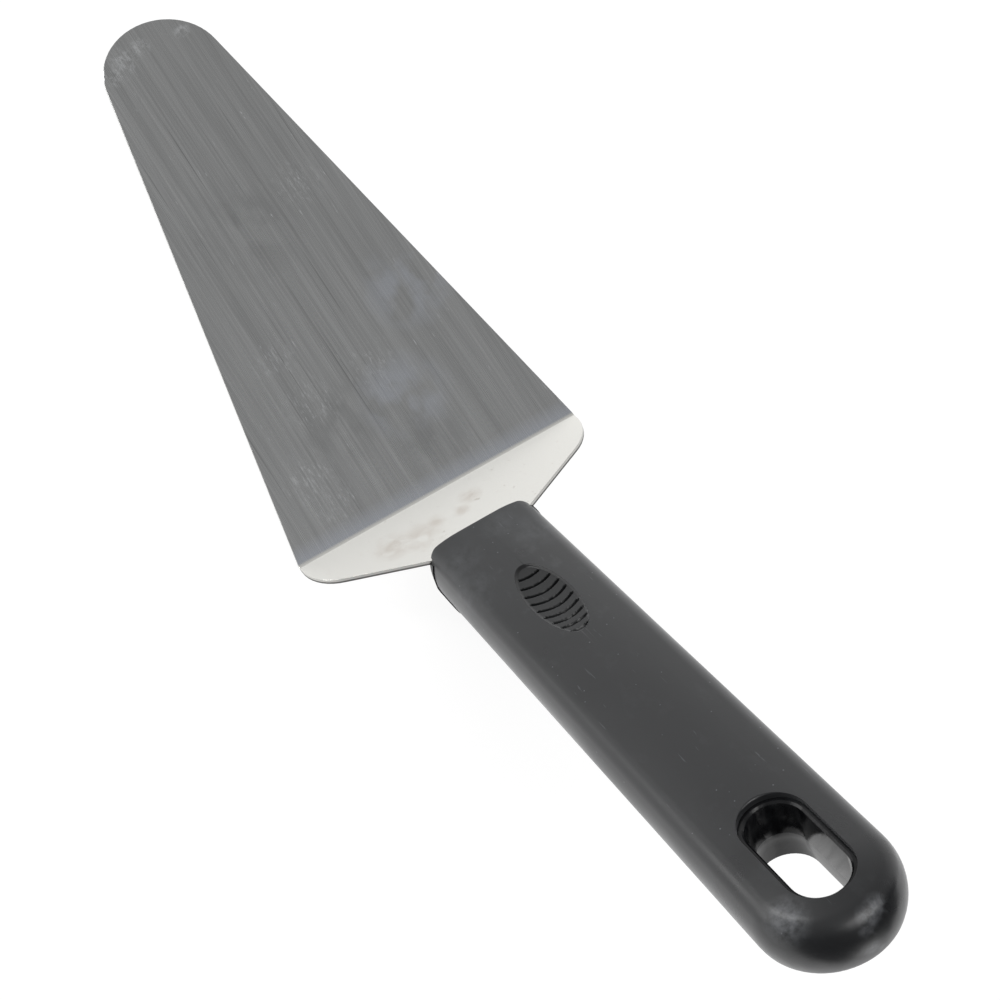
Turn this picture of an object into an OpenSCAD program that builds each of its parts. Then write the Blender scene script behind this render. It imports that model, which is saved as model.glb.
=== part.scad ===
// Cake server: a bent stainless plate moulded into a hard core,
// with a soft skin over the core and a hang slot near the butt.
// The blade lies flat, its underside on z = 0, its tip towards +Y.
// The origin is on the underside, midway between the bend and the tip.

/* [Blade] */
// Length of the flat from the bend to the tip
blade_l = 127; // [95:1:150]
// Width across the bend
blade_w = 64; // [50:1:80]
// Radius of the round tip
tip_r = 13.4; // [8:0.2:18]
// Thickness of the plate
plate_t = 1; // [0.8:0.1:1.5]
// Inner radius of the bend
bend_r = 1.5; // [1.5:0.5:5]
// Angle by which the neck and the handle rise from the blade
rise = 35; // [20:0.5:45]

/* [Heel and neck] */
// Length of straight side between the bend and the round of the heel
heel_gap = 0.6; // [0.4:0.1:3]
// Radius of the round heel
heel_r = 10.3; // [6:0.1:12]
// Angle of the back edges of the neck to the bend line
back_angle = 29.4; // [24:0.2:34]
// Distance along the neck from the bend to the front of the handle
neck_l = 17.8; // [16:0.1:26]

/* [Tang] */
// Width of the tang inside the handle
tang_w = 12; // [10:0.5:14]
// Length of the tang from the front of the handle
tang_l = 62; // [45:1:75]
// Diameter of the holes that lock the tang in the core
lock_d = 5; // [3:0.5:6]
// Distance between the two lock holes
lock_pitch = 26; // [15:1:30]
// Clearance between the tang and the core
tang_gap = 0.05; // [0.02:0.01:0.15]

/* [Handle] */
// Length of the handle
handle_l = 127; // [110:1:150]
// Width at the front
front_w = 24.4; // [21:0.1:26]
// Width at the butt, which ends in a half circle
butt_w = 25.6; // [25:0.1:32]
// Thickness
handle_t = 14; // [12:0.1:18]
// Height of the top face above the plate
top_h = 2.6; // [2.5:0.1:5]
// Radius along the edges
edge_r = 3.7; // [3:0.1:4.5]
// Radius of the bulge of the sides
side_r = 10; // [9:0.5:16]
// Radius by which the top and the underside fall towards the edges
crown_r = 41; // [30:1:90]
// Radius of the front corners, seen from above
corner_r = 3; // [2:0.1:6]
// Radius along the top and bottom of the front face
nose_r = 1; // [0.5:0.1:1.6]

/* [Skin] */
// Thickness of the soft skin
skin_t = 1.8; // [1.4:0.1:2.2]
// Clearance between the skin and the core
bond_gap = 0.05; // [0.02:0.01:0.15]
// Width of the open seam round the chin
seam_gap = 0.25; // [0.1:0.05:0.5]

/* [Chin] */
// Distance from the front face to where the seam of the bare chin drops from the plate
chin_front = 2.2; // [2.2:0.1:4]
// Depth of the seam below the top face along the side
chin_top = 9.6; // [8:0.1:11]
// Length of the chin
chin_l = 8.5; // [8:0.5:20]
// Height that the chin stands proud of the skin
chin_proud = 0.2; // [0.2:0.05:0.8]
// Radius of the seam where it turns from the drop to the run
chin_r = 2; // [1:0.1:3]
// Radius of the seam where it turns down at its back end
chin_end_r = 2; // [1:0.5:3]

/* [Hang slot] */
// Length of the slot inside the collar
slot_l = 21.6; // [16:0.2:26]
// Width of the slot inside the collar
slot_w = 10; // [8:0.2:12]
// Distance from the middle of the slot to the end of the butt
slot_back = 17.9; // [17:0.1:26]
// Width of the ledge between the skin and the slot
ledge_w = 1; // [0.5:0.1:1.2]
// Depth of the ledge below the top face
ledge_d = 1.2; // [0.8:0.1:1.7]
// Radius that rounds over the rim of the skin
rim_r = 0.4; // [0.4:0.1:1.1]
// Chamfer along the rim of the collar
collar_c = 0.35; // [0.2:0.05:0.45]
// Distance by which the wall of the slot leans in to its narrowest line
draft_in = 0.35; // [0.1:0.05:0.6]
// Distance of that line below the middle of the handle
waist_drop = 0.7; // [0:0.1:2]
// Extra half width of the slot at the underside
flare_out = 0.5; // [0:0.1:0.8]

/* [Thumb pad] */
// Length of the oval dish
pad_l = 24.2; // [16:0.2:30]
// Width of the oval dish
pad_w = 9; // [7:0.2:12]
// Depth of the dish below its long edges
pad_d = 0.5; // [0.1:0.05:0.6]
// Distance from the front of the handle to the middle of the dish
pad_back = 31; // [20:0.5:45]
// Most grooves in the dish
groove_n = 9; // [5:1:11]
// Distance from the front end of the dish to the first groove
groove_start = 3.5; // [2.5:0.1:5]
// Distance between the first two grooves
groove_pitch = 2.95; // [2.6:0.05:3.4]
// Length by which each next distance is shorter
groove_fall = 0.15; // [0:0.01:0.18]
// Width of a groove
groove_w = 0.7; // [0.4:0.05:1]
// Depth of a groove below the floor of the dish
groove_d = 0.5; // [0.2:0.05:0.7]
// Radius of the arc that each groove follows
groove_r = 6.3; // [5:0.1:14]
// Distance from the ends of a groove to the edge of the dish
groove_margin = 0.7; // [0.4:0.1:1.5]

/* [Hidden] */
$fn = 96;

// Length by which a cutting solid runs past what it cuts
over = 1;
// Height by which a rounding stands proud of the faces that it joins, so that it crosses them
meet = 0.005;
// Angle by which the bend runs on into the flat and into the neck
bend_lap = 0.1;

// The bend takes the place of this length on each side of the bend line
bend_run = bend_r * tan(rise / 2);
// Outer radius of the bend
bend_o = bend_r + plate_t;
// The flat ends and the bend starts here
bend_y = bend_run - blade_l / 2;

// Blade: the straight sides touch the tip circle and pass the ends of the bend
tip_y = blade_l - tip_r;
side_angle = acos((tip_r - meet) / norm([blade_w / 2, tip_y - bend_run])) - atan2(tip_y - bend_run, blade_w / 2);

// Heel: a circle that touches the straight beside the bend, and the back edge
heel_c = [blade_w / 2 - heel_r, -bend_run - heel_gap];
back_n = [sin(back_angle), -cos(back_angle)];
back_t = heel_c + heel_r * back_n;

// Where the back edges reach the width of the tang
shoulder_y = back_t[1] - (back_t[0] - tang_w / 2) * tan(back_angle);
tang_end = -neck_l - tang_l;

// Handle: the sides touch the circle of the butt
butt_r = butt_w / 2;
butt_y = butt_r - handle_l;
taper = atan2(-butt_y, front_w / 2) - acos(butt_r / norm([front_w / 2, butt_y]));
side_l = over - butt_y / cos(taper);
half_t = handle_t / 2;

// Section of the handle: circles for the crown, the side and the edge between them
flat_x = -butt_y * tan(taper);
crown_c = [flat_x, half_t - crown_r];
bulge_c = [butt_r - side_r, 0];
edge_c = circles_meet(crown_c, crown_r - edge_r, bulge_c, side_r - edge_r);

// Slot
slot_y = slot_back - handle_l;
slot_run = slot_l - slot_w;
wide_w = slot_w + 2 * ledge_w;

// Top face of the plate inside the handle, measured from its middle height
plate_top = half_t - top_h;

// Thumb pad: the dish is the mark of a ring whose two radii give its length and width
pad_drop = crown_r - sqrt(crown_r * crown_r - pow(pad_w / 2 - flat_x, 2));
pad_floor = pad_drop + pad_d;
dish_r = (pow(pad_w / 2, 2) + pad_d * pad_d) / (2 * pad_d);
ring_r = (pow(pad_l / 2, 2) + pad_floor * pad_floor) / (2 * pad_floor) - dish_r;

// Unit vector along v
function unit(v) = v / norm(v);

// Upper right point that lies r1 from c1 and r2 from c2
function circles_meet(c1, r1, c2, r2) =
    let (d = norm(c2 - c1),
         a = (r1 * r1 - r2 * r2 + d * d) / (2 * d),
         h = sqrt(r1 * r1 - a * a),
         u = (c2 - c1) / d)
    c1 + a * u + h * [-u[1], u[0]] * (u[1] > 0 ? -1 : 1);

// Half the width of the dish at a distance y from its middle
function pad_half(y) = pad_w / 2 * sqrt(max(0, 1 - pow(2 * y / pad_l, 2)));

// Corner to be cut away to leave a rounding: a quarter from its centre, less the circle
module corner_waste(r) {
    difference() {
        square(r + over);
        circle(r);
    }
}

// The two holes through the tang, or the pins of the core that fill them
module lock_holes(d) {
    for (s = [-1, 1]) translate([0, (shoulder_y + tang_end + s * lock_pitch) / 2]) circle(d = d);
}

// Flat blank of the plate: y = 0 is the bend line, the tip is at +y
module blank() {
    side_x = blade_w / 2;
    tip_t = [0, tip_y] + (tip_r - meet) * [cos(side_angle), sin(side_angle)];
    right = [
        tip_t, [side_x, bend_run], [side_x, heel_c[1]], back_t,
        [tang_w / 2, shoulder_y], [tang_w / 2, tang_end + tang_w / 2]
    ];
    left = [for (i = [len(right) - 1:-1:0]) [-right[i][0], right[i][1]]];
    difference() {
        union() {
            polygon(concat(right, left));
            translate([0, tip_y]) circle(tip_r);
            translate([0, tang_end + tang_w / 2]) circle(tang_w / 2 + meet);
            for (s = [-1, 1]) translate([s * heel_c[0], heel_c[1]]) circle(heel_r + meet);
        }
        lock_holes(lock_d);
    }
}

// Part of the blank ahead of the bend, which starts at y = 0
module blank_ahead() {
    intersection() {
        translate([0, -bend_run]) blank();
        translate([-blade_w, 0]) square([2 * blade_w, blade_l]);
    }
}

// Part of the blank behind the bend, which ends at y = 0
module blank_behind() {
    intersection() {
        translate([0, bend_run]) blank();
        translate([-blade_w, 2 * tang_end]) square([2 * blade_w, -2 * tang_end]);
    }
}

// Turns its children up behind the bend
module turned_up() {
    translate([0, bend_y, bend_o]) rotate([-rise, 0, 0]) translate([0, 0, -bend_o]) children();
}

// Puts its children in the handle: y = 0 is the front face, z = 0 the middle of the thickness
module in_handle() {
    turned_up() translate([0, bend_run - neck_l, plate_t + top_h - half_t]) children();
}

// Arc of plate between the flat and the neck. It lies a hair inside both and runs on into them,
// so that it crosses their ends and no face only touches another.
module bend() {
    translate([0, bend_y, bend_o]) rotate([0, 90, 0]) rotate([0, 0, bend_lap])
        rotate_extrude(angle = -rise - 2 * bend_lap)
            translate([bend_r + meet, meet - blade_w / 2]) square([plate_t - 2 * meet, blade_w - 2 * meet]);
}

module blade() {
    color([0.62, 0.63, 0.64]) union() {
        translate([0, bend_y, 0]) linear_extrude(plate_t) blank_ahead();
        bend();
        turned_up() linear_extrude(plate_t) blank_behind();
    }
}

// Half section of the handle: x runs out from the axis of the butt, y is the height.
// A positive inset gives the surface that lies that far inside.
module section(inset) {
    top_t = crown_c + (crown_r - inset) * unit(edge_c - crown_c);
    side_t = bulge_c + (side_r - inset) * unit(edge_c - bulge_c);
    keep = [[flat_x, half_t + over], [top_t[0], half_t + over], top_t, side_t, [butt_r + over, side_t[1]]];
    under = [for (i = [len(keep) - 1:-1:0]) [keep[i][0], -keep[i][1]]];
    translate([0, inset - half_t]) square([flat_x, handle_t - 2 * inset]);
    intersection() {
        polygon(concat(keep, under));
        translate(crown_c) circle(crown_r - inset, $fn = 3 * $fn);
        mirror([0, 1]) translate(crown_c) circle(crown_r - inset, $fn = 3 * $fn);
        translate(bulge_c) circle(side_r - inset, $fn = 2 * $fn);
    }
    for (s = [-1, 1]) translate([edge_c[0], s * edge_c[1]]) circle(edge_r + meet - inset);
}

// The section carried along one side, out past the front
module side_sweep(inset) {
    translate([0, butt_y, 0]) rotate([0, 0, taper]) translate([0, side_l, 0])
        rotate([90, 0, 0]) linear_extrude(side_l) section(inset);
}

// The section carried round the butt, from the end of one side to the end of the other
module butt_sweep(inset) {
    translate([0, butt_y, 0]) rotate([0, 0, 180 - taper])
        rotate_extrude(angle = 180 + 2 * taper) section(inset);
}

// Solid of the handle, or with an inset the solid that lies that far inside it
module handle_form(inset) {
    corner_y = meet - inset - corner_r;
    corner_x = front_w / 2 + (corner_y - corner_y * sin(taper)) / cos(taper);
    nose_c = nose_r - meet;
    difference() {
        union() {
            side_sweep(inset);
            mirror([1, 0, 0]) side_sweep(inset);
            butt_sweep(inset);
        }
        translate([-butt_w, -inset, -handle_t]) cube([2 * butt_w, 2 * butt_w, 2 * handle_t]);
        for (s = [0, 1]) mirror([s, 0, 0]) translate([corner_x, corner_y, -handle_t])
            linear_extrude(2 * handle_t) corner_waste(corner_r);
        for (s = [0, 1]) mirror([0, 0, s]) translate([-butt_w, -inset - nose_c, half_t - inset - nose_c])
            rotate([90, 0, 90]) linear_extrude(2 * butt_w) corner_waste(nose_r);
    }
}

// Carries a half section round the slot: x runs out from the middle line
module slot_sweep() {
    for (s = [-1, 1]) translate([0, slot_y + s * slot_run / 2, 0]) rotate_extrude() children();
    for (s = [0, 1]) mirror([s, 0, 0])
        translate([0, slot_y + slot_run / 2, 0]) rotate([90, 0, 0]) linear_extrude(slot_run) children();
}

// Hole through the collar, leaning in to its narrowest line and flaring out below
module slot_hole() {
    w = slot_w / 2;
    collar_top = half_t - ledge_d;
    slot_sweep() polygon([
        [0, half_t + over],
        [w + collar_c, half_t + over],
        [w + collar_c, collar_top],
        [w, collar_top - collar_c],
        [w - draft_in, -waist_drop],
        [w + flare_out, -half_t],
        [w + flare_out, -half_t - over],
        [0, -half_t - over]
    ]);
}

// Opening of the skin at the slot, its upper rim rounded over
module skin_opening() {
    w = wide_w / 2;
    rim_z = half_t - rim_r + meet;
    slot_sweep() difference() {
        translate([0, -half_t - over]) square([w + rim_r, handle_t + 2 * over]);
        translate([w + rim_r, rim_z]) circle(rim_r);
        translate([w, -half_t - 2 * over]) square([rim_r + over, rim_z + half_t + 2 * over]);
    }
}

// Side view of the bare chin: the seam drops from the plate, runs back and turns under
module chin_side(grow) {
    drop_y = -chin_front - grow;
    run_z = half_t - chin_top + grow;
    end_y = -chin_l - grow;
    low_z = -half_t - over;
    turn_r = chin_r - grow;
    turn_c = [drop_y - turn_r + meet, run_z + turn_r - meet];
    end_r = chin_end_r + grow;
    difference() {
        polygon([
            [over, low_z], [over, plate_top - plate_t / 2], [drop_y, plate_top - plate_t / 2],
            [drop_y, turn_c[1]], turn_c, [turn_c[0], run_z], [end_y, run_z], [end_y, low_z]
        ]);
        translate(turn_c) circle(turn_r);
        translate([end_y + end_r - meet, run_z - end_r + meet]) rotate(90) corner_waste(end_r);
    }
}

module chin_block(grow) {
    translate([-butt_w, 0, 0]) rotate([90, 0, 90]) linear_extrude(2 * butt_w) chin_side(grow);
}

// Room for the plate inside the handle, with pins left standing in the lock holes
module plate_room(gap) {
    x = tang_w / 2 + gap;
    right_t = back_t + gap * back_n;
    neck_y = shoulder_y - gap * (1 - sin(back_angle)) / cos(back_angle);
    end_y = tang_end + tang_w / 2;
    translate([0, neck_l, plate_top - plate_t - gap]) linear_extrude(plate_t + 2 * gap) difference() {
        union() {
            polygon([right_t, [x, neck_y], [x, end_y], [-x, end_y], [-x, neck_y], [-right_t[0], right_t[1]]]);
            translate([0, end_y]) circle(x + meet);
        }
        lock_holes(lock_d - 2 * gap);
    }
}

module handle_core() {
    color([0.16, 0.16, 0.17]) in_handle() difference() {
        union() {
            handle_form(skin_t);
            slot_sweep() translate([0, -half_t]) square([wide_w / 2 - bond_gap, handle_t - ledge_d]);
            intersection() {
                handle_form(-chin_proud);
                chin_block(0);
            }
        }
        slot_hole();
        plate_room(tang_gap);
    }
}

// Arcs pressed into the dish of the thumb pad, as many as it has room for
module grooves() {
    for (i = [0:groove_n - 1]) {
        apex = pad_l / 2 - groove_start - i * groove_pitch + i * (i - 1) / 2 * groove_fall;
        half = pad_half(apex + groove_margin) - groove_margin;
        spread = asin(min(half / groove_r, sqrt(3) / 2));
        if (half > groove_w) translate([0, apex + groove_r, 0])
            rotate([0, 0, -90 - spread]) rotate_extrude(angle = 2 * spread)
                translate([groove_r - groove_w / 2, -pad_floor - groove_d]) square([groove_w, handle_t]);
    }
}

// Mark of a wide ring that rolls into the top face
module dish() {
    rim = ring_r + dish_r;
    reach = asin((pad_l / 2 + over) / rim);
    translate([0, 0, rim - pad_floor]) rotate([0, 90, 0]) rotate([0, 0, -reach])
        rotate_extrude(angle = 2 * reach, $fn = 20 * $fn) intersection() {
            translate([ring_r, 0]) circle(dish_r, $fn = 6 * $fn);
            translate([rim - pad_floor - over, -pad_w]) square([pad_floor + 2 * over, 2 * pad_w]);
        }
}

module thumb_pad() {
    translate([0, -pad_back, half_t]) {
        dish();
        grooves();
    }
}

module grip_skin() {
    color([0.28, 0.285, 0.29]) in_handle() difference() {
        handle_form(0);
        handle_form(skin_t - bond_gap);
        skin_opening();
        chin_block(seam_gap);
        plate_room(seam_gap);
        thumb_pad();
    }
}

blade();
handle_core();
grip_skin();
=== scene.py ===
import bmesh
import bpy
import math
from mathutils import Matrix, Vector
from mathutils.geometry import delaunay_2d_cdt


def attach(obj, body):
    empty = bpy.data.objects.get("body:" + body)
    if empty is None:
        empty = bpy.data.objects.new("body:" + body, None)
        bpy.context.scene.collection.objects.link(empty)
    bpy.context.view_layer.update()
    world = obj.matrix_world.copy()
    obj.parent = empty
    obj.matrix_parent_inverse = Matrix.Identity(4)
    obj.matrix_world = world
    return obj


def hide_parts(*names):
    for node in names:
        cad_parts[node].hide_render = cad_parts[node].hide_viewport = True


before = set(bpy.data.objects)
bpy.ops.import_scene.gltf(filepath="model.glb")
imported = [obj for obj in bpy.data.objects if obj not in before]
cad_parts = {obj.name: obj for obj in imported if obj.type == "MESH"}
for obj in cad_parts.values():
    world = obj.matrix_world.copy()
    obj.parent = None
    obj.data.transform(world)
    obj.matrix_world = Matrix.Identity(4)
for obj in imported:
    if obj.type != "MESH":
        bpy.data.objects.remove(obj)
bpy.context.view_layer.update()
scene = bpy.context.scene
mm = 0.001  # settings of the pieces are in millimetres, those of the table, the sky and the lamps in metres


def linear(hexColour):
    # sRGB hex to the linear values that the shaders take
    parts = [int(hexColour[i:i + 2], 16) / 255 for i in (1, 3, 5)]
    return tuple(c / 12.92 if c <= 0.04045 else ((c + 0.055) / 1.055) ** 2.4 for c in parts) + (1.0,)


def addNode(tree, kind, inputs=None, **settings):
    # one node; each of its inputs is a value, or the socket that feeds it. A Mix node has its factor at 0,
    # its numbers at 2 and 3, its colours at 6 and 7, and gives a number at 0 and a colour at 2.
    node = tree.nodes.new(kind)
    for key, value in settings.items():
        setattr(node, key, value)
    for key, value in (inputs or {}).items():
        if isinstance(value, bpy.types.NodeSocket):
            tree.links.new(value, node.inputs[key])
        else:
            node.inputs[key].default_value = value
    return node


def newMaterial(name):
    material = bpy.data.materials.new(name)
    material.use_nodes = True
    material.node_tree.nodes.clear()
    return material, material.node_tree


def markAmount(tree, place, marks):
    # how strongly one kind of mark shows: a noise of the marks' real size, cut to a range, and kept to
    # spots on the part where it has any, each a place and its reach, with the core share of it in full
    stretched = addNode(tree, "ShaderNodeMapping", {
        "Vector": place, "Location": marks.get("move", (0, 0, 0)),
        "Scale": [1 / (size * mm) for size in marks["size"]]})
    noise = addNode(tree, "ShaderNodeTexNoise", {
        "Vector": stretched.outputs["Vector"], "Scale": 1, "Detail": marks["detail"],
        "Roughness": marks.get("broken", 0.5), "Distortion": marks.get("bent", 0)})
    cut = addNode(tree, "ShaderNodeMapRange", {
        "Value": noise.outputs["Fac"], "From Min": marks["cut"][0], "From Max": marks["cut"][1],
        "To Max": marks.get("most", 1)})
    amount = cut.outputs["Result"]
    if "spots" not in marks:
        return amount
    near = 0.0
    for x, y, z, reach in marks["spots"]:
        away = addNode(tree, "ShaderNodeVectorMath", {
            0: place, 1: (x * mm, y * mm, z * mm)}, operation="DISTANCE")
        fade = addNode(tree, "ShaderNodeMapRange", {
            "Value": away.outputs["Value"], "From Min": reach * mm,
            "From Max": marks["core"] * reach * mm})
        near = addNode(tree, "ShaderNodeMath", {
            0: fade.outputs["Result"], 1: near}, operation="MAXIMUM").outputs[0]
    return addNode(tree, "ShaderNodeMath", {0: amount, 1: near}, operation="MULTIPLY").outputs[0]


def layMarks(tree, place, below, marks, mask=1.0):
    # lays the colour of the marks over what is below
    amount = addNode(tree, "ShaderNodeMath", {
        0: markAmount(tree, place, marks), 1: mask}, operation="MULTIPLY")
    over = addNode(tree, "ShaderNodeMix", {
        0: amount.outputs[0], 6: below, 7: linear(marks["colour"])}, data_type="RGBA")
    return over.outputs[2]


# Camera, set by the outlines of the real object: turn in degrees, clip in metres
cameraSet = {
    "place": (-83.341, -193.636, 384.848), "turn": (21.6517, -2.1122, -31.9051),
    "lens": 74.577, "film": 36, "clip": 0.01,
}

bpy.ops.object.select_all(action="DESELECT")
bpy.ops.object.camera_add(location=[v * mm for v in cameraSet["place"]],
                          rotation=[math.radians(v) for v in cameraSet["turn"]])
camera = bpy.context.object
camera.name = "photoCamera"
camera.data.lens = cameraSet["lens"]
camera.data.sensor_width = cameraSet["film"]
camera.data.clip_start = cameraSet["clip"]
scene.camera = camera
print("camera done")


# The handle lies on a frame of its own: its origin is the middle of the front face, y runs back to front
# and z up through the thumb pad. Its top is flat in the middle and crowned beside it.
handleSet = {
    "origin": (0, -80.6046, 7.6054), "rise": 35, "half": 7.0, "crown": 41.0, "flat": 0.6,
    "buttAt": -114.2, "taper": 0.301,
}
toPart = (Matrix.Translation([v * mm for v in handleSet["origin"]])
          @ Matrix.Rotation(math.radians(-handleSet["rise"]), 4, "X"))
toHandle = toPart.inverted()


def onHandle(tree, place, axis):
    # where a shaded point lies along one axis of the handle's frame, in metres
    direction = toPart.to_3x3() @ Vector(axis)
    along = addNode(tree, "ShaderNodeVectorMath", {0: place, 1: direction}, operation="DOT_PRODUCT")
    start = toPart.translation.dot(direction)
    return addNode(tree, "ShaderNodeMath", {
        0: along.outputs["Value"], 1: start}, operation="SUBTRACT").outputs[0]


# Stainless sheet: the flat is belt ground along its length, which gives the eye fine lines and a soft grey,
# the neck is left as rolled, bright and smooth, and the edges were blanked and only deburred
steelSet = {
    "bendLine": -63.5, "groundFrom": (0.25, 0.7), "belt": "#a6a7a7", "ground": "#bebfbf",
    "rolled": "#f7f6f1", "groundRough": (0.22, 0.32), "rolledRough": 0.24,
    "lineShare": 0.5, "lineDepth": 0.02, "lineBump": 0.25,
    # the press sheared the upper part of each edge bright and tore the lower part dull
    "sheared": "#d4d3cf", "torn": "#6c6b69", "cutRough": 0.5,
    "flatTear": (0.5, 0.35), "neckTear": (3.9, 3.75),
    # both faces of the sheet look along y or z, so what leans to x was cut, and so was the end of the tip
    "sideLean": 0.05, "tipLean": 0.9,
    # belt lines are about 0.05 mm wide and 20 to 90 mm long, here drawn wide enough to show
    "lines": {"size": (0.42, 34, 5), "detail": 5, "broken": 0.7, "cut": (0.3, 0.7)},
    "bands": {"size": (2.6, 110, 9), "detail": 3, "move": (3, 1, 0), "cut": (0.35, 0.65)},
    "darkLines": {"size": (0.55, 60, 5), "detail": 2, "move": (11, 4, 0), "cut": (0.34, 0.27),
                  "most": 0.75, "colour": "#8a8b8b"},
    "nicks": {"size": (0.42, 4.5, 3), "detail": 2, "move": (5, 9, 0), "bent": 0.5, "cut": (0.73, 0.78),
              "most": 0.8, "colour": "#e6e8ea"},
    # knives and plates have scratched it beside the heel and round the tip
    "scratches": {"size": (0.5, 2.2, 2), "detail": 4, "move": (2, 7, 0), "broken": 0.7,
                  "cut": (0.52, 0.66), "most": 0.5, "colour": "#e6e8ea", "core": 0.3,
                  "spots": ((-21, -48, 1, 7), (-19, -55, 1, 6), (3, -34, 1, 8), (11, 12, 1, 7),
                            (-14, -22, 1, 6), (-12, -34, 1, 8))},
    "tipRubs": {"size": (0.9, 1.5, 2), "detail": 4, "move": (6, 2, 0), "broken": 0.7,
                "cut": (0.47, 0.62), "most": 0.6, "colour": "#e6e8ea", "core": 0.35,
                "spots": ((-6.5, 57, 1, 4), (-9.5, 54.5, 1, 3.5), (-2, 58.3, 1, 3), (8, 57.5, 1, 2.5))},
    # dried water left two bluish clouds, fingers darker ones
    "waterClouds": {"size": (6, 8, 6), "detail": 3, "move": (1, 2, 0), "cut": (0.42, 0.58),
                    "most": 0.6, "colour": "#c6cad2", "core": 0.4,
                    "spots": ((18, -21, 1, 11), (5, -42, 1, 11))},
    "smudges": {"size": (5, 9, 6), "detail": 3, "move": (7, 3, 0), "cut": (0.4, 0.6),
                "most": 0.5, "colour": "#949595", "core": 0.2,
                "spots": ((5, -52, 1, 9), (-9, -40, 1, 12), (-4, 8, 1, 14))},
    # the belt lifts off before the bend and leaves a lighter band
    "liftOff": (4.5, 1.2), "liftMost": 0.75, "liftColour": "#c6cad2",
    # faint warm stains on the rolled neck
    "stains": {"size": (3.4, 2.8, 3.4), "detail": 2, "bent": 0.4, "cut": (0.32, 0.62),
               "most": 0.5, "colour": "#d3c8bd", "core": 0.2,
               "spots": ((3.8, -68.9, 4.8, 3), (-5.2, -70.6, 6, 2.6), (-9.5, -72.6, 7.2, 5.5),
                         (-15, -70.9, 6.3, 5), (0.4, -71.4, 6.5, 2.2))},
    "specks": {"size": (1.1, 1.1, 1.1), "detail": 2, "move": (4, 4, 1), "cut": (0.68, 0.76),
               "most": 0.5, "colour": "#cfc6bc"},
}


def stainlessSheet():
    material, tree = newMaterial("groundStainlessSheet")
    place = addNode(tree, "ShaderNodeTexCoord").outputs["Object"]
    split = addNode(tree, "ShaderNodeSeparateXYZ", {"Vector": place})
    bendLine = steelSet["bendLine"]
    # 0 behind the bend, 1 on the ground flat
    start, end = [(bendLine + v) * mm for v in steelSet["groundFrom"]]
    ahead = addNode(tree, "ShaderNodeMapRange", {
        "Value": split.outputs["Y"], "From Min": start, "From Max": end}).outputs["Result"]
    lines = markAmount(tree, place, steelSet["lines"])
    bands = markAmount(tree, place, steelSet["bands"])
    shade = addNode(tree, "ShaderNodeMix", {
        0: steelSet["lineShare"], 2: lines, 3: bands}, data_type="FLOAT").outputs[0]
    ground = addNode(tree, "ShaderNodeMix", {
        0: shade, 6: linear(steelSet["belt"]), 7: linear(steelSet["ground"])},
        data_type="RGBA").outputs[2]
    for kind in ("darkLines", "smudges", "nicks", "scratches", "waterClouds", "tipRubs"):
        ground = layMarks(tree, place, ground, steelSet[kind])
    far, close = [(bendLine + v) * mm for v in steelSet["liftOff"]]
    lift = addNode(tree, "ShaderNodeMapRange", {
        "Value": split.outputs["Y"], "From Min": far, "From Max": close, "To Max": steelSet["liftMost"]})
    ground = addNode(tree, "ShaderNodeMix", {
        0: lift.outputs["Result"], 6: ground, 7: linear(steelSet["liftColour"])},
        data_type="RGBA").outputs[2]
    rolled = linear(steelSet["rolled"])
    for kind in ("stains", "specks"):
        rolled = layMarks(tree, place, rolled, steelSet[kind])
    colour = addNode(tree, "ShaderNodeMix", {0: ahead, 6: rolled, 7: ground}, data_type="RGBA").outputs[2]
    cutEdge = addNode(tree, "ShaderNodeAttribute", attribute_name="cutEdge").outputs["Fac"]
    tears = []
    for height, reach in ((onHandle(tree, place, (0, 0, 1)), steelSet["neckTear"]),
                          (split.outputs["Z"], steelSet["flatTear"])):
        tears.append(addNode(tree, "ShaderNodeMapRange", {
            "Value": height, "From Min": reach[0] * mm, "From Max": reach[1] * mm}).outputs["Result"])
    tear = addNode(tree, "ShaderNodeMix", {
        0: ahead, 2: tears[0], 3: tears[1]}, data_type="FLOAT").outputs[0]
    edge = addNode(tree, "ShaderNodeMix", {
        0: tear, 6: linear(steelSet["sheared"]), 7: linear(steelSet["torn"])},
        data_type="RGBA").outputs[2]
    colour = addNode(tree, "ShaderNodeMix", {0: cutEdge, 6: colour, 7: edge}, data_type="RGBA").outputs[2]
    groundRough = addNode(tree, "ShaderNodeMapRange", {
        "Value": lines, "To Min": steelSet["groundRough"][0], "To Max": steelSet["groundRough"][1]})
    rough = addNode(tree, "ShaderNodeMix", {
        0: ahead, 2: steelSet["rolledRough"], 3: groundRough.outputs["Result"]},
        data_type="FLOAT").outputs[0]
    rough = addNode(tree, "ShaderNodeMix", {
        0: cutEdge, 2: rough, 3: steelSet["cutRough"]}, data_type="FLOAT").outputs[0]
    # only the belt's lines have a depth
    depth = addNode(tree, "ShaderNodeMath", {0: shade, 1: ahead}, operation="MULTIPLY").outputs[0]
    bump = addNode(tree, "ShaderNodeBump", {
        "Height": depth, "Strength": steelSet["lineBump"], "Distance": steelSet["lineDepth"] * mm})
    shader = addNode(tree, "ShaderNodeBsdfPrincipled", {
        "Base Color": colour, "Metallic": 1.0, "Roughness": rough, "Normal": bump.outputs["Normal"]})
    addNode(tree, "ShaderNodeOutputMaterial", {"Surface": shader.outputs["BSDF"]})
    return material


def markCutFaces(piece):
    # marks the blanked edges for the material
    cut = piece.data.attributes.new("cutEdge", "FLOAT", "FACE")
    for face in piece.data.polygons:
        atSide = abs(face.normal.x) > steelSet["sideLean"]
        atTip = face.normal.y > steelSet["tipLean"] and face.center.y > 0
        cut.data[face.index].value = 1.0 if atSide or atTip else 0.0


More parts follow.
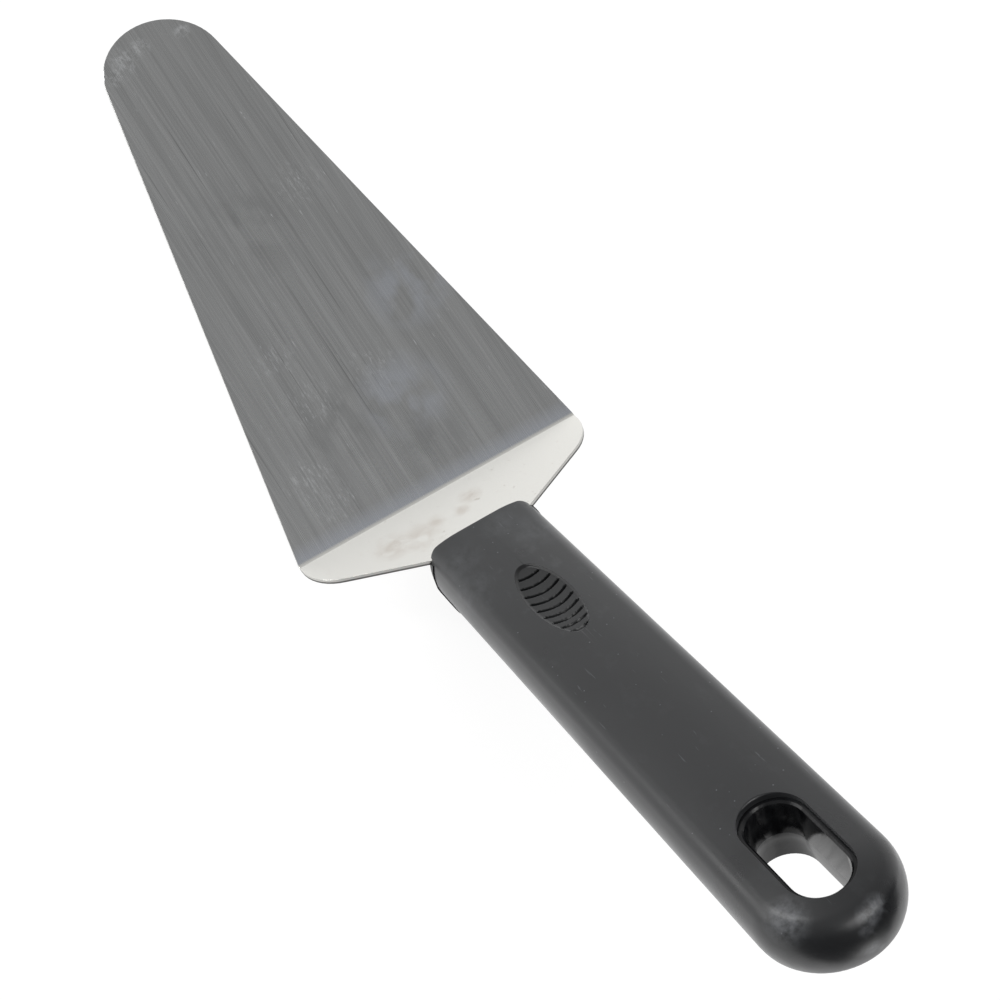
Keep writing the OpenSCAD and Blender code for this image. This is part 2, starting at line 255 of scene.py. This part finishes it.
# Soft-touch skin: a thermoplastic elastomer moulded over the core, satin from a spark-eroded mould, which
# gives the eye a dull black with a dusty light at its edges. It is rubbed in use, most of all in front.
skinSet = {
    "base": "#1a1b1d", "rough": (0.27, 0.37), "ior": 1.6, "gloss": 0.45,
    # the bowl colour and its gloss are painted shade for the recess of the thumb pad
    "bowl": "#0f1011", "bowlGloss": 0.28, "front": (-118, -80), "leastFront": 0.25,
    "dustSheen": 0.27, "dustSheenRough": 0.45, "dustTint": "#d0d1d4",
    # mould grain of 0.1 mm, drawn at 0.3 mm so that it shows
    "grain": {"size": (0.3, 0.3, 0.3), "detail": 3, "broken": 0.6, "cut": (0, 1)},
    "grainDepth": 0.03, "grainBump": 0.22,
    "patches": {"size": (14, 22, 14), "detail": 3, "cut": (0.35, 0.65)},
    "rubbed": {"size": (14, 22, 14), "detail": 3, "cut": (0.36, 0.62), "most": 0.55, "colour": "#2c2e30"},
    "smears": {"size": (5, 9, 7), "detail": 5, "move": (4, 1, 2), "broken": 0.7, "cut": (0.56, 0.8),
               "most": 0.3, "colour": "#6b6e72"},
    "hairlines": {"size": (0.5, 7, 7), "detail": 2, "move": (1, 6, 3), "bent": 0.4, "cut": (0.72, 0.77),
                  "most": 0.3, "colour": "#6b6e72"},
    # dust holds on at the front corners
    "cornerDust": {"size": (2.5, 4, 3), "detail": 5, "move": (3, 3, 5), "broken": 0.65, "cut": (0.35, 0.7),
                   "most": 0.28, "colour": "#6b6e72", "core": 0.15,
                   "spots": ((7.5, -86, 19, 7), (-8, -84, 17, 6), (-10.5, -92, 20, 8), (3, -81, 16, 5))},
    # where the butt has knocked and rubbed against its hook, and painted highlight:
    # the light spots also widen the reflections of the soft box over the butt
    "buttWearAndPaintedHighlight": {"size": (1.6, 1.6, 1.6), "detail": 4, "move": (2, 5, 1), "broken": 0.6, "cut": (0.3, 0.62),
                 "most": 0.5, "colour": "#7b7d81", "core": 0.3,
                 "spots": ((-9.1, -175.2, 80.4, 4.5), (1.2, -181.2, 83.2, 2.6), (2.8, -180.6, 83.2, 2.4),
                           (0.2, -182.6, 82.6, 2), (0, -185.1, 79.2, 1.8), (1.4, -185.4, 78, 1.2))},
    "buttScar": {"size": (0.7, 0.7, 0.7), "detail": 2, "move": (1, 1, 1), "cut": (0.25, 0.4),
                 "most": 0.9, "colour": "#131416", "core": 0.45,
                 "spots": ((4.3, -181.4, 82.6, 0.9), (3.3, -182.2, 82.3, 0.8), (2.3, -182.9, 82, 0.8),
                           (1.2, -183.2, 81.7, 0.9), (0.1, -183.6, 81.3, 1))},
    # specks of dust: the pitch of their cells, and the rim and middle of a dot as shares of it
    "specks": {"pitch": 2.6, "dot": (0.06, 0.035), "most": 0.8, "colour": "#6b6e72"},
}


def softSkin():
    material, tree = newMaterial("softTouchElastomer")
    place = addNode(tree, "ShaderNodeTexCoord").outputs["Object"]
    split = addNode(tree, "ShaderNodeSeparateXYZ", {"Vector": place})
    front = addNode(tree, "ShaderNodeMapRange", {
        "Value": split.outputs["Y"], "From Min": skinSet["front"][0] * mm,
        "From Max": skinSet["front"][1] * mm, "To Min": skinSet["leastFront"]}).outputs["Result"]
    colour = linear(skinSet["base"])
    for kind in ("rubbed", "smears"):
        colour = layMarks(tree, place, colour, skinSet[kind], front)
    # painted shade: the bowl of the thumb pad takes a darker colour, over the rubbed marks
    bowl = addNode(tree, "ShaderNodeAttribute", attribute_name="padBowlPaintedShade").outputs["Fac"]
    colour = addNode(tree, "ShaderNodeMix", {
        0: bowl, 6: colour, 7: linear(skinSet["bowl"])}, data_type="RGBA").outputs[2]
    # the butt's light spots are wear and painted highlight
    for kind in ("hairlines", "cornerDust", "buttWearAndPaintedHighlight", "buttScar"):
        colour = layMarks(tree, place, colour, skinSet[kind])
    specks = skinSet["specks"]
    cells = addNode(tree, "ShaderNodeTexVoronoi", {"Vector": place, "Scale": 1 / (specks["pitch"] * mm)})
    dots = addNode(tree, "ShaderNodeMapRange", {
        "Value": cells.outputs["Distance"], "From Min": specks["dot"][0], "From Max": specks["dot"][1],
        "To Max": specks["most"]}).outputs["Result"]
    colour = addNode(tree, "ShaderNodeMix", {
        0: dots, 6: colour, 7: linear(specks["colour"])}, data_type="RGBA").outputs[2]
    rough = addNode(tree, "ShaderNodeMapRange", {
        "Value": markAmount(tree, place, skinSet["patches"]), "To Min": skinSet["rough"][0],
        "To Max": skinSet["rough"][1]}).outputs["Result"]
    gloss = addNode(tree, "ShaderNodeMapRange", {
        "Value": bowl, "To Min": skinSet["gloss"], "To Max": skinSet["bowlGloss"]}).outputs["Result"]
    bump = addNode(tree, "ShaderNodeBump", {
        "Height": markAmount(tree, place, skinSet["grain"]), "Strength": skinSet["grainBump"],
        "Distance": skinSet["grainDepth"] * mm})
    shader = addNode(tree, "ShaderNodeBsdfPrincipled", {
        "Base Color": colour, "Roughness": rough, "Specular IOR Level": gloss,
        "Normal": bump.outputs["Normal"], "IOR": skinSet["ior"],
        "Sheen Weight": skinSet["dustSheen"], "Sheen Roughness": skinSet["dustSheenRough"],
        "Sheen Tint": linear(skinSet["dustTint"])})
    addNode(tree, "ShaderNodeOutputMaterial", {"Surface": shader.outputs["BSDF"]})
    return material


# Hang slot: the wall of the collar leans in to the parting line of the mould. Points nearer to that line
# than partingReach, and to the wall than wallReach, move in.
slotSet = {
    "middle": -109.1, "run": 11.6, "wall": 4.65, "parting": -0.7, "leanIn": 0.28,
    "partingReach": 0.05, "wallReach": 0.1,
}

# Hard core: injection moulded ABS. The upper half of the mould is polished, so its wall shows the dark room
# and turns bright only towards the butt. The lower half is a little matt, and its lighter colour is
# painted light from the table.
coreSet = {
    # the colour of the lower half is lighter: painted light from the table
    "base": "#0e0e10", "worn": "#17181a", "lowerPaintedLight": "#202123", "ior": 1.5,
    "rough": (0.11, 0.26), "mattRough": 0.3, "chinRough": 0.36,
    "darkGloss": 0.14, "brightGloss": 0.31, "tableGloss": 0.38, "chinGloss": 0.5,
    # where they change: blend to each side of the parting line, and the ledge of the slot, up through the
    # handle; the turn to bright and the chin along it
    "blend": 0.06, "ledge": (4.9, 5.3), "turn": (-104, -113), "chin": (-25, -20),
    # draw marks from the slide of the mould
    "draws": {"size": (1.1, 1.1, 14), "detail": 3, "cut": (0.3, 0.7)}, "drawDepth": 0.06, "drawBump": 0.25,
}


def hardCore():
    material, tree = newMaterial("polishedBlackAbs")
    place = addNode(tree, "ShaderNodeTexCoord").outputs["Object"]
    height = onHandle(tree, place, (0, 0, 1))
    length = onHandle(tree, place, (0, 1, 0))
    masks = {}
    parting = slotSet["parting"]
    blend = coreSet["blend"]
    for name, value, (start, end) in (("lower", height, (parting + blend, parting - blend)),
                                      ("ledge", height, coreSet["ledge"]),
                                      ("towardsButt", length, coreSet["turn"]),
                                      ("chin", length, coreSet["chin"])):
        masks[name] = addNode(tree, "ShaderNodeMapRange", {
            "Value": value, "From Min": start * mm, "From Max": end * mm}).outputs["Result"]
    draws = markAmount(tree, place, coreSet["draws"])
    colour = addNode(tree, "ShaderNodeMix", {
        0: draws, 6: linear(coreSet["base"]), 7: linear(coreSet["worn"])}, data_type="RGBA").outputs[2]
    # painted light: the lower half of the wall takes a lighter colour for the light of the table
    colour = addNode(tree, "ShaderNodeMix", {
        0: masks["lower"], 6: colour, 7: linear(coreSet["lowerPaintedLight"])}, data_type="RGBA").outputs[2]
    rough = addNode(tree, "ShaderNodeMapRange", {
        "Value": draws, "To Min": coreSet["rough"][0], "To Max": coreSet["rough"][1]}).outputs["Result"]
    rough = addNode(tree, "ShaderNodeMix", {
        0: masks["lower"], 2: rough, 3: coreSet["mattRough"]}, data_type="FLOAT").outputs[0]
    bright = addNode(tree, "ShaderNodeMath", {
        0: masks["ledge"], 1: masks["towardsButt"]}, operation="MAXIMUM").outputs[0]
    gloss = addNode(tree, "ShaderNodeMapRange", {
        "Value": bright, "To Min": coreSet["darkGloss"], "To Max": coreSet["brightGloss"]}).outputs["Result"]
    gloss = addNode(tree, "ShaderNodeMix", {
        0: masks["lower"], 2: gloss, 3: coreSet["tableGloss"]}, data_type="FLOAT").outputs[0]
    # the chin in front is as matt as the skin above it
    gloss = addNode(tree, "ShaderNodeMix", {
        0: masks["chin"], 2: gloss, 3: coreSet["chinGloss"]}, data_type="FLOAT").outputs[0]
    rough = addNode(tree, "ShaderNodeMix", {
        0: masks["chin"], 2: rough, 3: coreSet["chinRough"]}, data_type="FLOAT").outputs[0]
    bump = addNode(tree, "ShaderNodeBump", {
        "Height": draws, "Strength": coreSet["drawBump"], "Distance": coreSet["drawDepth"] * mm})
    shader = addNode(tree, "ShaderNodeBsdfPrincipled", {
        "Base Color": colour, "Roughness": rough, "Specular IOR Level": gloss,
        "Normal": bump.outputs["Normal"], "IOR": coreSet["ior"]})
    addNode(tree, "ShaderNodeOutputMaterial", {"Surface": shader.outputs["BSDF"]})
    return material


def crownHeight(x, y):
    # height of the crowned top face, in millimetres on the handle's frame
    taper = math.radians(handleSet["taper"])
    out = abs(x) * math.cos(taper) - (y - handleSet["buttAt"]) * math.sin(taper) - handleSet["flat"]
    return handleSet["half"] - handleSet["crown"] + math.sqrt(handleSet["crown"] ** 2 - max(out, 0) ** 2)


def ease(value):
    # 0 to 1 with a soft start and a soft end
    value = min(max(value, 0.0), 1.0)
    return value * value * (3 - 2 * value)


# Thumb pad: an oval dish with a soft steep rim and nine pressed arcs, which get shallower towards the butt
padSet = {
    "back": -31.0, "long": 24.2, "wide": 9.0,
    # the last number is the share of the bowl's painted shade at its rear end
    "wall": 0.36, "wallWidth": 0.75, "bowl": 0.24, "leastBowlShade": 0.3,
    # the arcs: how far the first lies from the front end, the pitch and how much shorter each next one is,
    # the room left to the rim, the radius, the widest half angle in degrees, and the section of the press
    "arcs": 9, "firstArc": 3.5, "pitch": 2.95, "shorter": 0.15, "margin": 0.85, "arcRadius": 6.3,
    "widest": 60, "arcDeep": 0.75, "arcFade": 0.05, "arcFloor": 0.14, "arcEdge": 0.36,
    # the mesh: what lies less than deepest below the top is the solid's own pad; the new points are spaced
    # by spacing and end at rimSpace of the oval, and points nearer than sameSpot are one
    "deepest": 1.6, "spacing": 0.13, "rimSpace": 0.985, "sameSpot": 1e-6,
    # these keep the slope finite in the middle of the oval
    "leastOval": 0.05, "leastSlope": 0.01,
}


def padOval(x, y):
    # 0 in the middle of the pad, 1 on its rim
    return math.hypot(2 * x / padSet["wide"], 2 * y / padSet["long"])


def padArcs():
    # place of each arc along the pad, the half angle that it spans, and its depth
    widest = math.sin(math.radians(padSet["widest"]))
    arcs = []
    for i in range(padSet["arcs"]):
        lost = i * (i - 1) / 2 * padSet["shorter"]
        at = padSet["long"] / 2 - padSet["firstArc"] - i * padSet["pitch"] + lost
        inside = max(0, 1 - (2 * (at + padSet["margin"]) / padSet["long"]) ** 2)
        half = padSet["wide"] / 2 * math.sqrt(inside) - padSet["margin"]
        if half > padSet["margin"]:
            span = math.asin(min(half / padSet["arcRadius"], widest))
            arcs.append((at, span, padSet["arcDeep"] - i * padSet["arcFade"]))
    return arcs


def padDepth(x, y, arcs):
    # depth below the crown: the wall of the rim, the dish, and the deepest arc that presses here
    oval = padOval(x, y)
    steepness = math.hypot(4 * x / padSet["wide"] ** 2, 4 * y / padSet["long"] ** 2)
    slope = steepness / max(oval, padSet["leastOval"])
    inward = (1 - oval) / max(slope, padSet["leastSlope"])
    depth = padSet["wall"] * ease(inward / padSet["wallWidth"]) + padSet["bowl"] * (1 - oval ** 2)
    pressed = 0.0
    for at, span, deep in arcs:
        dy = at + padSet["arcRadius"] - y
        if dy > 0:
            past = max(0, abs(math.atan2(x, dy)) - span) * padSet["arcRadius"]
            away = math.hypot(math.hypot(x, dy) - padSet["arcRadius"], past)
            cut = 1 - ease((away - padSet["arcFloor"]) / (padSet["arcEdge"] - padSet["arcFloor"]))
            pressed = max(pressed, deep * cut)
    return depth + pressed


def padGrid():
    # evenly spread points inside the rim, each second row shifted by half a step
    step = padSet["spacing"]
    rows = int(padSet["long"] / 2 / step)
    columns = int(padSet["wide"] / 2 / step) + 1
    grid = []
    for row in range(-rows, rows + 1):
        for column in range(-columns, columns):
            x = (column + 0.5 * (row % 2)) * step
            y = row * step
            if padOval(x, y) < padSet["rimSpace"]:
                grid.append(Vector((x, y + padSet["back"])))
    return grid


def modelPad(mesh):
    # takes the plain dish out of the solid and puts the finished pad in the hole
    inside = []
    for face in mesh.faces:
        x, y, z = toHandle @ face.calc_center_median() / mm
        if z > handleSet["half"] - padSet["deepest"] and padOval(x, y - padSet["back"]) < 1:
            inside.append(face)
    rimEdges = [e for e in mesh.edges if sum(f in inside for f in e.link_faces) == 1]
    rim = list({v for e in rimEdges for v in e.verts})
    bmesh.ops.delete(mesh, geom=inside, context="FACES")
    places = [(toHandle @ v.co / mm).xy for v in rim] + padGrid()
    rimLines = [(rim.index(e.verts[0]), rim.index(e.verts[1])) for e in rimEdges]
    # triangles between all the points, kept to what lies inside the rim
    points, _, faces, pointFrom, _, _ = delaunay_2d_cdt(places, rimLines, [], 1, padSet["sameSpot"])
    arcs = padArcs()
    corners = []
    for point, origins in zip(points, pointFrom):
        known = [i for i in origins if i < len(rim)]
        if known:
            corners.append(rim[known[0]])
        else:
            height = crownHeight(*point) - padDepth(point.x, point.y - padSet["back"], arcs)
            corners.append(mesh.verts.new(toPart @ (Vector((point.x, point.y, height)) * mm)))
    # painted shade: the bowl's darker colour grows towards its front end
    bowl = mesh.faces.layers.float.new("padBowlPaintedShade")
    for face in faces:
        if len({corners[i] for i in face}) == 3:
            made = mesh.faces.new([corners[i] for i in face])
            forward = (points[face[0]].y - padSet["back"]) / padSet["long"] + 0.5
            made[bowl] = padSet["leastBowlShade"] + (1 - padSet["leastBowlShade"]) * ease(forward)
    print("pad", len(points), "points", len(rim), "on the rim")


def modelSlot(mesh):
    # leans the wall of the slot in to the parting line
    moved = 0
    for vertex in mesh.verts:
        place = toHandle @ vertex.co / mm
        along = min(max(place.y - slotSet["middle"], -slotSet["run"] / 2), slotSet["run"] / 2)
        out = Vector((place.x, place.y - slotSet["middle"] - along, 0))
        onLine = abs(place.z - slotSet["parting"]) < slotSet["partingReach"]
        if onLine and abs(out.length - slotSet["wall"]) < slotSet["wallReach"]:
            place -= out.normalized() * slotSet["leanIn"]
            vertex.co = toPart @ (place * mm)
            moved += 1
    print("slot", moved, "points moved")


# The solids of core and skin keep a thin wall inside, across the handle, where the round of the butt meets
# the side. Its faces lie nearer to that plane than near, and further from the middle than past.
wallSet = {"near": 0.01, "past": 1.0}


def dropInnerWall(mesh):
    # the curve shades through once that wall is gone
    taper = math.radians(handleSet["taper"])

    def onWall(vertex):
        x, y, z = toHandle @ vertex.co / mm
        away = (y - handleSet["buttAt"]) * math.cos(taper) - abs(x) * math.sin(taper)
        return abs(x) > wallSet["past"] and abs(away) < wallSet["near"]

    wall = [f for f in mesh.faces if all(onWall(v) for v in f.verts)]
    bmesh.ops.delete(mesh, geom=wall, context="FACES")
    crowded = sum(len(e.link_faces) > 2 for e in mesh.edges)
    print("inner wall", len(wall), "faces gone", crowded, "crowded edges left")


# Pieces: how near doubles merge, the bevel that softens the edges, its steps,
# and the angle in degrees past which an edge stays sharp
pieceSets = {
    "steelBlade": {"node": "blade", "slot": "blade", "weld": 0.008, "edge": 0.08, "steps": 2, "angle": 40,
                   "material": stainlessSheet, "shaping": ()},
    "gripCore": {"node": "handle_core", "slot": "core", "weld": 0.002, "edge": 0, "steps": 0, "angle": 32,
                 "material": hardCore, "shaping": (dropInnerWall, modelSlot)},
    "gripSkin": {"node": "grip_skin", "slot": "skin", "weld": 0.002, "edge": 0, "steps": 0, "angle": 32,
                 "material": softSkin, "shaping": (dropInnerWall, modelPad)},
}


def pieceFromNode(name, settings):
    # a copy of the solid with its doubles merged, its details modelled and its curves shaded smooth
    bpy.ops.object.select_all(action="DESELECT")
    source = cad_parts[settings["node"]]
    source.select_set(True)
    bpy.context.view_layer.objects.active = source
    bpy.ops.object.duplicate()
    piece = bpy.context.object
    # the copy is a piece of its own and no node of the frame
    for key in [k for k in piece.keys() if k.startswith("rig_")]:
        del piece[key]
    piece.parent = None
    piece.name = name
    piece.data.name = name
    bpy.ops.object.mode_set(mode="EDIT")
    bpy.ops.mesh.select_all(action="SELECT")
    bpy.ops.mesh.remove_doubles(threshold=settings["weld"] * mm)
    bpy.ops.mesh.customdata_custom_splitnormals_clear()
    bpy.ops.object.mode_set(mode="OBJECT")
    mesh = bmesh.new()
    mesh.from_mesh(piece.data)
    for shape in settings["shaping"]:
        shape(mesh)
    mesh.normal_update()
    mesh.to_mesh(piece.data)
    mesh.free()
    if settings["edge"]:
        markCutFaces(piece)
        soften = piece.modifiers.new("softEdges", "BEVEL")
        soften.width = settings["edge"] * mm
        soften.segments = settings["steps"]
        soften.limit_method = "ANGLE"
        soften.angle_limit = math.radians(settings["angle"])
        soften.harden_normals = False
        bpy.ops.object.modifier_apply(modifier=soften.name)
    bpy.ops.object.shade_smooth_by_angle(angle=math.radians(settings["angle"]))
    # large faces lead the shading, so that long slivers leave no bands
    even = piece.modifiers.new("evenNormals", "WEIGHTED_NORMAL")
    even.mode = "FACE_AREA"
    even.keep_sharp = True
    bpy.ops.object.modifier_apply(modifier=even.name)
    piece.data.materials.clear()
    piece.data.materials.append(settings["material"]())
    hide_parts(settings["node"])
    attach(piece, "root")
    print(name, len(piece.data.polygons), "faces")


for pieceName, pieceSet in pieceSets.items():
    pieceFromNode(pieceName, pieceSet)


# Pale table that ends between the object and the camera, so that the butt mirrors the dark room.
# It lies a hair below the blade. The camera sees it as white that gives its own light, with a share of
# plain paper on top that keeps the shadow.
tableSet = {
    "left": -6.0, "right": 6.0, "near": -0.315, "far": 8.0, "height": -0.0002,
    "colour": "#f4f4f4", "own": 0.89, "shadow": 0.2,
}

bpy.ops.object.select_all(action="DESELECT")
bpy.ops.mesh.primitive_plane_add(size=1, location=(
    (tableSet["left"] + tableSet["right"]) / 2,
    (tableSet["near"] + tableSet["far"]) / 2,
    tableSet["height"]))
table = bpy.context.object
table.name = "paleTable"
table.scale = (tableSet["right"] - tableSet["left"], tableSet["far"] - tableSet["near"], 1)
bpy.ops.object.transform_apply(location=False, rotation=False, scale=True)
tableMaterial, tableTree = newMaterial("paleTable")
white = (1, 1, 1, 1)
rays = addNode(tableTree, "ShaderNodeLightPath")
paper = addNode(tableTree, "ShaderNodeBsdfDiffuse", {"Color": linear(tableSet["colour"])})
mirroredWhite = addNode(tableTree, "ShaderNodeEmission", {"Color": white, "Strength": 1.0})
seenWhite = addNode(tableTree, "ShaderNodeEmission", {"Color": white, "Strength": tableSet["own"]})
shadow = addNode(tableTree, "ShaderNodeBsdfDiffuse", {"Color": (tableSet["shadow"],) * 3 + (1,)})
seen = addNode(tableTree, "ShaderNodeAddShader", {
    0: seenWhite.outputs["Emission"], 1: shadow.outputs["BSDF"]})
# mirrors see plain white, and only the light that falls on the object sees the paper
mirrored = addNode(tableTree, "ShaderNodeMath", {
    0: rays.outputs["Is Glossy Ray"], 1: rays.outputs["Is Transmission Ray"]}, operation="MAXIMUM")
unseen = addNode(tableTree, "ShaderNodeMixShader", {
    0: mirrored.outputs[0], 1: paper.outputs["BSDF"], 2: mirroredWhite.outputs["Emission"]})
tableOut = addNode(tableTree, "ShaderNodeMixShader", {
    0: rays.outputs["Is Camera Ray"], 1: unseen.outputs["Shader"], 2: seen.outputs["Shader"]})
addNode(tableTree, "ShaderNodeOutputMaterial", {"Surface": tableOut.outputs["Shader"]})
table.data.materials.append(tableMaterial)
print("table done")

# Studio: white all round low down, greyer overhead, a dark room low down on the side of the camera.
# heights are steps of the sky from the horizon to straight up, each with its level. The room darkens what
# lies towards the camera, fully past camera and not at all past object, and lifts over roomHeights.
studioSet = {
    "heights": ((0.0, 0.84), (0.15, 0.84), (0.4, 0.5), (0.6, 0.42), (0.8, 0.42), (0.88, 0.38),
                (0.94, 0.47), (1.0, 0.5)),
    "camera": -0.4, "object": 0.05, "room": (0.035, 0.5), "roomHeights": (0.28, 0.62),
}
world = bpy.data.worlds.new("studio")
scene.world = world
world.use_nodes = True
sky = world.node_tree
sky.nodes.clear()
skyPlace = addNode(sky, "ShaderNodeTexCoord")
skyParts = addNode(sky, "ShaderNodeSeparateXYZ", {"Vector": skyPlace.outputs["Generated"]})
byHeight = addNode(sky, "ShaderNodeValToRGB", {"Fac": skyParts.outputs["Z"]})
steps = byHeight.color_ramp.elements
while len(steps) < len(studioSet["heights"]):
    steps.new(0.5)  # moved to its place below
for step, (at, level) in zip(steps, studioSet["heights"]):
    step.position = at
    step.color = (level, level, level, 1)
room = addNode(sky, "ShaderNodeMapRange", {
    "Value": skyParts.outputs["Z"],
    "From Min": studioSet["roomHeights"][0], "From Max": studioSet["roomHeights"][1],
    "To Min": studioSet["room"][0], "To Max": studioSet["room"][1]})
bySide = addNode(sky, "ShaderNodeMapRange", {
    "Value": skyParts.outputs["Y"], "From Min": studioSet["camera"], "From Max": studioSet["object"],
    "To Min": room.outputs["Result"]})
skyLight = addNode(sky, "ShaderNodeMix", {
    0: 1.0, 6: byHeight.outputs["Color"], 7: bySide.outputs["Result"]},
    data_type="RGBA", blend_type="MULTIPLY")
skyRays = addNode(sky, "ShaderNodeLightPath")
studio = addNode(sky, "ShaderNodeBackground", {"Color": skyLight.outputs[2], "Strength": 1.0})
backdrop = addNode(sky, "ShaderNodeBackground", {"Color": white, "Strength": 1.0})
skyOut = addNode(sky, "ShaderNodeMixShader", {
    0: skyRays.outputs["Is Camera Ray"], 1: studio.outputs["Background"], 2: backdrop.outputs["Background"]})
addNode(sky, "ShaderNodeOutputWorld", {"Surface": skyOut.outputs["Shader"]})

# Soft boxes behind on the left, low beside on the left and over the butt,
# and a card below the near end of the table
lampSets = {
    "leftBox": {"place": (-0.42, 0.8, 0.72), "aim": (0, -0.17, 0.08), "size": 0.4, "power": 3.3},
    "sideBox": {"place": (-0.7, 0.42, 0.16), "aim": (0, -0.13, 0.05), "size": 0.6, "power": 1.9},
    "buttBox": {"place": (0.3, -0.66, 0.88), "aim": (0, -0.18, 0.08), "size": 0.66, "power": 4.5},
    "lowCard": {"place": (0.12, -0.72, -0.15), "aim": (0, -0.18, 0.08), "size": 0.22, "power": 0.35},
}
for lampName, lampSet in lampSets.items():
    bpy.ops.object.select_all(action="DESELECT")
    bpy.ops.object.light_add(type="AREA", location=lampSet["place"])
    lamp = bpy.context.object
    lamp.name = lampName
    lamp.data.size = lampSet["size"]
    lamp.data.energy = lampSet["power"]
    lamp.visible_camera = False
    sight = [a - b for a, b in zip(lampSet["aim"], lampSet["place"])]
    level = math.hypot(sight[0], sight[1])
    lamp.rotation_euler = (math.atan2(level, -sight[2]), 0, math.atan2(sight[1], sight[0]) - math.pi / 2)

scene.view_settings.view_transform = "Standard"
print("studio done")
